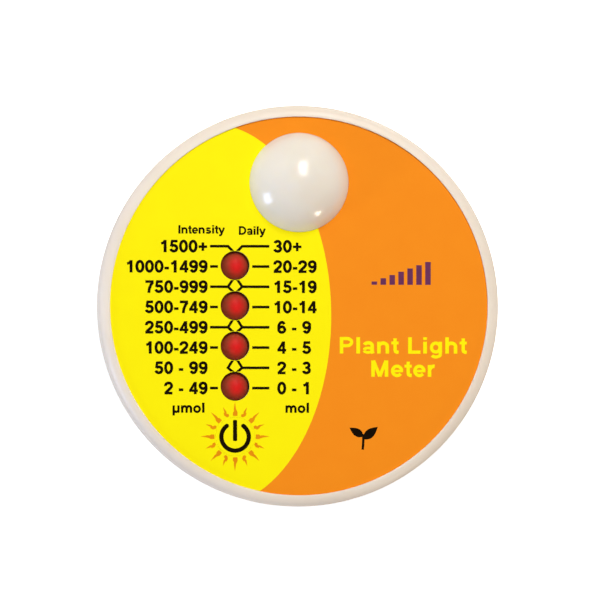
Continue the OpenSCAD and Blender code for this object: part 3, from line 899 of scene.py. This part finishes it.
SIX = [bow(0.395, 0.5, 0.255, 0.408, 38, 205), ring(0.39, 0.318, 0.245, 0.226)]
NINE = [([(FIGURE_W - x, 1 - y) for x, y in points], w, closed) for points, w, closed in SIX]
GLYPHS = {
    "0": (FIGURE_W, [ring(0.388, 0.5, 0.25, 0.408)]),
    "1": (FIGURE_W, [
        stem(0.45, w=0.2),
        line((0.43, 0.93), (0.36, 0.83), (0.26, 0.755), (0.13, 0.71), w=THIN),
    ]),
    "2": (FIGURE_W, [
        line(
            *ellipse(0.385, 0.69, 0.245, 0.218, 188, -28),
            (0.5, 0.45), (0.35, 0.31), (0.21, 0.18), (0.16, 0.09),
        ),
        line((0.055, 0.088), (0.7, 0.088), w=0.176),
    ]),
    "3": (FIGURE_W, [
        bow(0.37, 0.717, 0.215, 0.193, 168, -78),
        bow(0.37, 0.3, 0.25, 0.208, 80, -170),
        line((0.27, 0.515), (0.43, 0.515), w=0.15),
    ]),
    "4": (FIGURE_W, [
        stem(0.535, 0.995, 0.185),
        line((0.03, 0.29), (0.745, 0.29), w=THIN),
        line((0.5, 0.93), (0.11, 0.28), w=THIN),
    ]),
    "5": (FIGURE_W, [
        line((0.17, 0.905), (0.68, 0.905), w=0.18),
        line((0.245, 0.97), (0.17, 0.47), w=THIN),
        bow(0.372, 0.33, 0.255, 0.238, 142, -166),
    ]),
    "6": (FIGURE_W, SIX),
    "7": (FIGURE_W, [
        line((0.055, 0.905), (0.72, 0.905), w=0.18),
        line((0.665, 0.87), (0.5, 0.64), (0.385, 0.36), (0.33, 0)),
    ]),
    "8": (FIGURE_W, [ring(0.388, 0.728, 0.212, 0.18, 0.18), ring(0.388, 0.292, 0.25, 0.2)]),
    "9": (FIGURE_W, NINE),
    "+": (0.816, [
        line((0.06, 0.46), (0.75, 0.46), w=0.17),
        line((0.405, 0.115), (0.405, 0.805), w=0.17),
    ]),
    "-": (0.465, [line((0.05, 0.36), (0.415, 0.36), w=0.18)]),
    " ": (0.388, []),
    "I": (0.388, [stem(0.195, w=0.205)]),
    "D": (1.0, [stem(0.19), belly(0.4, 0.42, 0.5, 0.42, 0.412)]),
    "P": (0.93, [stem(0.19), belly(0.45, 0.5, 0.695, 0.27, 0.217)]),
    "L": (0.853, [stem(0.2, w=0.2), line((0.12, 0.088), (0.8, 0.088), w=0.176)]),
    "M": (1.163, [
        stem(0.195),
        stem(0.965),
        line((0.22, 0.99), (0.58, 0.02), w=0.18),
        line((0.94, 0.99), (0.58, 0.02), w=0.18),
    ]),
    "a": (FIGURE_W, [
        line(*ellipse(0.365, 0.49, 0.225, 0.163, 165, 0), (0.59, 0.16), (0.625, 0.0)),
        ring(0.355, 0.205, 0.24, 0.135, 0.15),
    ]),
    "e": (FIGURE_W, [
        bow(0.39, 0.36, 0.26, 0.285, 0, 322, 0.175, 28),
        line((0.2, 0.35), (0.735, 0.35), w=0.13),
    ]),
    "g": (0.853, [
        ring(0.4, 0.37, 0.245, 0.268, 0.175),
        line((0.665, X_HEIGHT), (0.665, -0.05), w=0.18),
        bow(0.41, -0.05, 0.255, 0.155, 0, -155, 0.17),
    ]),
    "h": (0.853, [stem(0.18), arch(0.665, 0.24)]),
    "i": (0.388, [stem(0.195, X_HEIGHT, 0.2), line((0.195, 0.83), (0.195, 1), w=0.2)]),
    "l": (0.388, [stem(0.195, w=0.2)]),
    "m": (1.24, [stem(0.18, X_HEIGHT), arch(0.625, 0.21), arch(1.06, 0.21)]),
    "n": (0.853, [stem(0.18, X_HEIGHT), arch(0.665, 0.24)]),
    "o": (0.853, [ring(0.425, 0.362, 0.275, 0.28, 0.185)]),
    "r": (0.543, [stem(0.18, X_HEIGHT), bow(0.44, 0.4, 0.24, 0.245, 170, 82)]),
    "s": (FIGURE_W, [
        line(
            *ellipse(0.375, 0.515, 0.225, 0.13, 18, 255),
            *ellipse(0.385, 0.21, 0.235, 0.128, 75, -162),
            w=0.17,
        ),
    ]),
    "t": (0.465, [
        line((0.235, 0.93), (0.235, 0.22), (0.26, 0.13), (0.33, 0.088), (0.44, 0.088), w=0.18),
        line((0.02, 0.65), (0.44, 0.65), w=0.15),
    ]),
    "y": (FIGURE_W, [
        line((0.1, X_HEIGHT), (0.4, 0.0), w=0.185),
        line((0.68, X_HEIGHT), (0.4, 0.0), (0.34, -0.12), (0.26, -0.19), (0.1, -0.2), w=0.18),
    ]),
    "µ": (0.853, [
        line((0.185, -0.28), (0.185, X_HEIGHT)),
        stem(0.665, X_HEIGHT),
        line((0.185, 0.4), *ellipse(0.425, 0.29, 0.24, 0.2, 180, 355)),
    ]),
}


def words(text, x, baseline, height, align="left", gap=0.0, weight=1.3, wide=1.0):
    """A line of lettering as polygons. gap adds to the space after each sign, in capital heights."""
    length = (sum(GLYPHS[c][0] * wide + gap for c in text) - gap) * height
    at = x - {"left": 0, "middle": 0.5, "right": 1}[align] * length
    shapes = []
    for c in text:
        advance, strokes = GLYPHS[c]
        for points, width, closed in strokes:
            placed = [(at + px * wide * height, baseline + py * height) for px, py in points]
            shapes += stroke(placed, width * height * weight, closed)
        at += (advance * wide + gap) * height
    return shapes


def inside(point, shape):
    """Whether a point lies in a polygon."""
    crossings = False
    for a, b in zip(shape, shape[1:] + shape[:1]):
        if (a.y > point.y) != (b.y > point.y):
            crossings ^= point.x < a.x + (point.y - a.y) * (b.x - a.x) / (b.y - a.y)
    return crossings


def printed(name, shapes, colour, body=BODY):
    """Ink of a real thickness on the film: the union of the polygons, as one closed sheet."""
    points, faces = [], []
    shapes = [[Vector(p) for p in shape] for shape in shapes]
    for shape in shapes:
        area = sum(a.x * b.y - a.y * b.x for a, b in zip(shape, shape[1:] + shape[:1]))
        faces.append(list(range(len(points), len(points) + len(shape))))
        points += shape if area > 0 else shape[::-1]
    flat, _, cells, _, _, sources = delaunay_2d_cdt(points, [], faces, 1, 1e-5)
    tops = []
    for cell, source in zip(cells, sources):
        middle = sum((flat[i] for i in cell), Vector((0, 0))) / len(cell)
        if any(inside(middle, shapes[k]) for k in source):
            tops.append(cell)
    count = len(flat)
    edges = [(a, b) for cell in tops for a, b in zip(cell, cell[1:] + cell[:1])]
    inner = set(edges)
    walls = [(b, a, a + count, b + count) for a, b in edges if (b, a) not in inner]
    bottoms = [[i + count for i in reversed(cell)] for cell in tops]
    verts = [(p.x, p.y, z) for z in (INK_TOP, INK_LOW) for p in flat]
    mesh = mesh_from(name, verts, tops + bottoms + walls)
    piece(add_object(name, mesh), name, body, colour)


# The scale: two columns of figures, with lines that lead to the lamps between them
ROW_TOP = 11.27
ROW_PITCH = 3.835
FIGURE_H = 2.34
FIGURE_WEIGHT = 1.22
LINE_W = 0.5
LEFT_FIGURES = ["1500+", "1000-1499", "750-999", "500-749", "250-499", "100-249", "50 - 99", "2 - 49"]
RIGHT_FIGURES = ["30+", "20-29", "15-19", "10-14", "6 - 9", "4 - 5", "2 - 3", "0 - 1"]
COLUMN_X = key_spot[0]


def scale_figures():
    """The figures of both columns."""
    left_end, right_start, spaced_in = -17.3, -4.95, 0.75
    shapes = []
    for row, (left, right) in enumerate(zip(LEFT_FIGURES, RIGHT_FIGURES)):
        baseline = ROW_TOP - row * ROW_PITCH - FIGURE_H / 2
        shapes += words(left, left_end, baseline, FIGURE_H, "right", 0, FIGURE_WEIGHT)
        start = right_start + (spaced_in if " " in right else 0)
        shapes += words(right, start, baseline, FIGURE_H, "left", 0, FIGURE_WEIGHT)
    printed("scale_figures", shapes, black_ink)


def leader_lines():
    """A short line beside each lamp, and between two lamps a line that forks to both."""
    near_left, near_right = -16.9, -5.65
    short_left, short_right = -15.4, -8.9  # where the short lines end beside the lamps
    turn, tip_x = 1.35, 0.5  # a bend's distance from the lamp column, and where its slant ends
    reach = LAMP_HOLE_R + 0.02
    bare_row = 6  # its left fork has no line to its figures
    shapes = []
    for row in range(len(LEFT_FIGURES)):
        y = ROW_TOP - row * ROW_PITCH
        if row % 2:
            shapes += stroke([(near_left, y), (short_left, y)], LINE_W)
            shapes += stroke([(short_right, y), (near_right, y)], LINE_W)
            continue
        for side, far in ((-1, near_left), (1, near_right)):
            bend = (COLUMN_X + side * turn, y)
            down = (COLUMN_X + side * tip_x, lamp_spots[row // 2][1] + reach)
            if row == 0:
                shapes += stroke([(far, y), bend, down], LINE_W, level=True)
                continue
            if side > 0 or row != bare_row:
                shapes += stroke([(far, y), bend], LINE_W)
            up = (COLUMN_X + side * tip_x, lamp_spots[row // 2 - 1][1] - reach)
            shapes += stroke([up, bend, down], LINE_W, level=True)
    printed("leader_lines", shapes, black_ink)


def headings():
    """What each column gives and its unit, and the face's title."""
    heading_h, unit_h, unit_y, weight = 1.6, 1.9, -20.24, 1.2
    shapes = words("Intensity", -18.55, 13.65, heading_h, "middle", -0.02, weight)
    shapes += words("Daily", -8.95, 13.45, heading_h, "middle", -0.02, weight)
    shapes += words("µmol", -17.8, unit_y, unit_h, "right", 0, weight)
    shapes += words("mol", -0.35, unit_y, unit_h, "middle", 0, weight)
    printed("scale_headings", shapes, black_ink)
    title_x, title_h = 19.7, 3.1
    title = words("Plant Light", title_x, -9.0, title_h, "middle", 0.02, 1.16, 1.07)
    title += words("Meter", title_x, -13.4, title_h, "middle", 0.02, 1.16, 1.07)
    printed("face_title", title, yellow_look)


def level_mark():
    """Plain bars of rising height, as a sign for an amount of light."""
    x, y, wide, pitch, step, count = 19.4, 6.2, 1.05, 1.7, 0.62, 7
    shapes = []
    for k in range(count):
        left, low = x + (k - (count - 1) / 2) * pitch - wide / 2, y - step * count / 2
        high = low + step * (k + 1)
        shapes.append([(left, low), (left + wide, low), (left + wide, high), (left, high)])
    printed("level_mark", shapes, plum_ink)


def leaf_mark():
    """A plain seedling with two leaves."""
    x, y = 12.2, -27.2
    shapes = stroke([(x - 0.12, y), (x - 0.02, y + 1.4), (x + 0.05, y + 2.9)], 0.46)
    steps, fullness = 24, 0.8  # fullness under 1 puts a leaf's widest place nearer its foot
    for side, long, wide, lean, foot in ((-1, 3.1, 1.5, 32, 2.5), (1, 3.6, 1.7, 40, 2.0)):
        along = [k / steps for k in range(steps + 1)]
        upper = [(long * t, wide / 2 * math.sin(math.pi * t**fullness)) for t in along]
        lower = [(u, -v) for u, v in upper[-2:0:-1]]
        cos, sin = math.cos(math.radians(lean)), math.sin(math.radians(lean))
        shapes.append([
            (x + side * (u * cos - v * sin), y + foot + u * sin + v * cos)
            for u, v in upper + lower
        ])
    printed("leaf_mark", shapes, black_ink)


def power_mark():
    """The standard power sign on the key, and small rays round the key."""
    x, y = key_spot
    ring_r, width, gap = 2.6, 0.82, 37  # gap is half the ring's opening, in degrees
    around = arc(x, y - 0.05, ring_r, 90 + gap, 450 - gap, 64)
    shapes = stroke(around, width)
    shapes += [circle(*around[0], width / 2), circle(*around[-1], width / 2)]
    low, high, half, corner = y - 0.83, y + 3.15, 0.39, 0.16
    shapes.append(
        arc(x + half - corner, high - corner, corner, 0, 90, 5)
        + arc(x - half + corner, high - corner, corner, 90, 180, 5)
        + arc(x - half + corner, low + corner, corner, 180, 270, 5)
        + arc(x + half - corner, low + corner, corner, 270, 360, 5)
    )
    printed("power_mark", shapes, black_ink, KEY_BODY)
    wedge = [
        (3.9, -0.44), (4.6, -0.47), (5.15, -0.2), (6.55, 0.02),
        (5.2, 0.25), (4.8, 0.2), (4.55, 0.4), (3.95, 0.4),
    ]
    bolt = [
        (3.92, 0.02), (4.4, -0.36), (5.0, -0.3), (4.94, -0.12), (6.05, 0.02),
        (5.0, 0.28), (4.62, 0.16), (4.35, 0.5), (3.98, 0.44),
    ]
    count = 16
    rays = []
    for k in range(count):
        a = math.radians(360 / count * k)
        out, side = Vector((math.cos(a), math.sin(a))), Vector((-math.sin(a), math.cos(a)))
        if 4 < k < 13:  # on the left and at the bottom a ray is turned over
            side.negate()
        rays.append([Vector((x, y)) + out * u + side * v for u, v in (bolt if k % 2 else wedge)])
    printed("power_rays", rays, orange_ink)


# -------------------- inner parts keep their CAD shape

INNER_LOOKS = (
    (rubber_look, ["case_gasket", "dome_seal"]),
    (black_look, ["dome_retainer", "light_baffle", "lamp_spacers", "switch_stem", "switch_body"]),
    (black_look, ["microcontroller", "amplifier_chip", "capacitor_base", "chip_resistors", "photodiode"]),
    (case_look, ["key_plunger"]),
    (filter_look, ["optical_filter"]),
    (plated_look, ["lamp_leads", "switch_plate", "switch_legs", "chip_pins", "watch_crystal"]),
    (can_look, ["reservoir_capacitor"]),
    (steel_look, ["board_screws"]),
    (bronze_look, ["cell_spring_contact", "cell_rim_contact"]),
    (board_look, ["circuit_board"]),
    (ceramic_look, ["chip_capacitors"]),
)


def inner_parts():
    """Gives each inner part its look, in its own slots."""
    for surface, nodes in INNER_LOOKS:
        for node in nodes:
            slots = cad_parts[node].data.materials
            slots.clear()
            slots.append(surface)


# -------------------- stage, light and camera


def stage():
    """A pale floor, nearly shadowless to the camera, and open under the meter.

    It can't be seen from below, so the underside can be looked at.
    """
    opening_r, floor_r, steps = BASE_FLAT_R + 0.9, 2500, 2 * ROUND
    verts = [(x, y, 0) for r in (opening_r, floor_r) for x, y in circle(0, 0, r, steps)]
    faces = [(k, steps + k, steps + (k + 1) % steps, (k + 1) % steps) for k in range(steps)]
    mesh = mesh_from("floor", verts, faces)
    if mesh.polygons[0].normal.z < 0:
        mesh.flip_normals()
    floor = add_object("floor", mesh)
    material = bpy.data.materials.new("floor")
    material.use_nodes = True
    tree = material.node_tree
    shader = tree.nodes["Principled BSDF"]
    fill(shader, {"Base Color": (0.8, 0.78, 0.76, 1), "Roughness": 0.9, "Specular IOR Level": 0.1})
    white = new_node(tree, "Emission", {"Strength": 0.72})
    lit = new_node(tree, "AddShader")
    bounce = new_node(tree, "MixShader")
    clear = new_node(tree, "BsdfTransparent")
    seen = new_node(tree, "LightPath")
    facing = new_node(tree, "NewGeometry")
    either = new_node(tree, "MixShader")
    wire(shader, "BSDF", lit, 0)
    wire(white, "Emission", lit, 1)
    wire(seen, "Is Camera Ray", bounce, "Fac")
    wire(shader, "BSDF", bounce, 1)
    wire(lit, "Shader", bounce, 2)
    wire(facing, "Backfacing", either, "Fac")
    wire(bounce, "Shader", either, 1)
    wire(clear, "BSDF", either, 2)
    wire(either, "Shader", tree.nodes["Material Output"], "Surface")
    mesh.materials.append(material)


def softbox(name, direction, distance, size, power, colour=(1, 1, 1), roll=0):
    """An area light of a width and height in metres, aimed at the face."""
    data = bpy.data.lights.new(name, "AREA")
    data.shape = "RECTANGLE"
    data.size, data.size_y = size
    data.energy = power
    data.color = colour
    light = bpy.data.objects.new(name, data)
    target = Vector((0, 0, CASE_TOP * MM))
    away = Vector(direction).normalized()
    light.location = target + away * distance
    turn = away.to_track_quat("Z", "Y").to_matrix().to_4x4() @ Matrix.Rotation(math.radians(roll), 4, "Z")
    light.rotation_euler = turn.to_euler()
    bpy.context.scene.collection.objects.link(light)


def lights():
    """Even studio light, with softboxes that make the dome's three highlights, and a white backdrop."""
    world = bpy.data.worlds.new("studio")
    bpy.context.scene.world = world
    world.use_nodes = True
    tree = world.node_tree
    sky = fill(tree.nodes["Background"], {"Color": (1.0, 0.985, 0.965, 1), "Strength": 0.31})
    backdrop = new_node(tree, "Background", {"Color": (0.985, 0.985, 0.985, 1)})
    seen = new_node(tree, "LightPath")
    either = new_node(tree, "MixShader")
    wire(seen, "Is Camera Ray", either, "Fac")
    wire(sky, "Background", either, 1)
    wire(backdrop, "Background", either, 2)
    wire(either, "Shader", tree.nodes["World Output"], "Surface")
    softbox("key_softbox", (0.14, 0.53, 0.83), 0.9, (0.26, 0.5), 5.8, (1.0, 0.97, 0.93), 8)
    softbox("left_strip", (-0.9, -0.42, 0.14), 0.8, (0.22, 0.28), 3.2, (0.58, 0.71, 1.0))
    softbox("right_strip", (0.57, -0.82, 0.1), 0.8, (0.1, 0.12), 1.3, (1.0, 0.82, 0.65))
    softbox("fill", (-0.4, 0.3, 0.87), 1.8, (2.2, 2.2), 4.7, (0.97, 0.98, 1.0))
    softbox("under_softbox", (-0.35, -0.45, -0.82), 0.9, (0.5, 0.5), 7.0)


def camera():
    """Looks almost straight down, from far off, a little from the left and from below."""
    data = bpy.data.cameras.new("camera")
    distance, shown, sensor = 1.5, 115.5, 36  # metres, then millimetres of the face across the picture
    data.sensor_width = sensor
    data.lens = sensor * distance / (shown * MM)
    data.clip_start, data.clip_end = 0.05, 10
    obj = bpy.data.objects.new("camera", data)
    bpy.context.scene.collection.objects.link(obj)
    bpy.context.scene.camera = obj
    aim = Vector((1.12, 0.17, FACE_Z)) * MM
    lean_left, lean_down = math.radians(4.4), math.radians(1.3)
    away = Vector((-math.tan(lean_left), -math.tan(lean_down), 1)).normalized()
    obj.location = aim + away * distance
    right = Vector((0, 1, 0)).cross(away).normalized()
    up = away.cross(right)
    obj.matrix_world = Matrix((*zip(right, up, away, obj.location), (0, 0, 0, 1)))


front_shell()
rear_cover()
face_film()
case_screws()
diffuser_dome()
for lamp_name, lamp_spot in zip(LAMPS, lamp_spots):
    lamp(lamp_name, lamp_spot)
key()
battery_cap()
cap_seal()
coin_cell()
snap_dome()
scale_figures()
leader_lines()
headings()
level_mark()
leaf_mark()
power_mark()
inner_parts()
stage()
lights()
camera()
bpy.context.scene.view_settings.view_transform = "Standard"
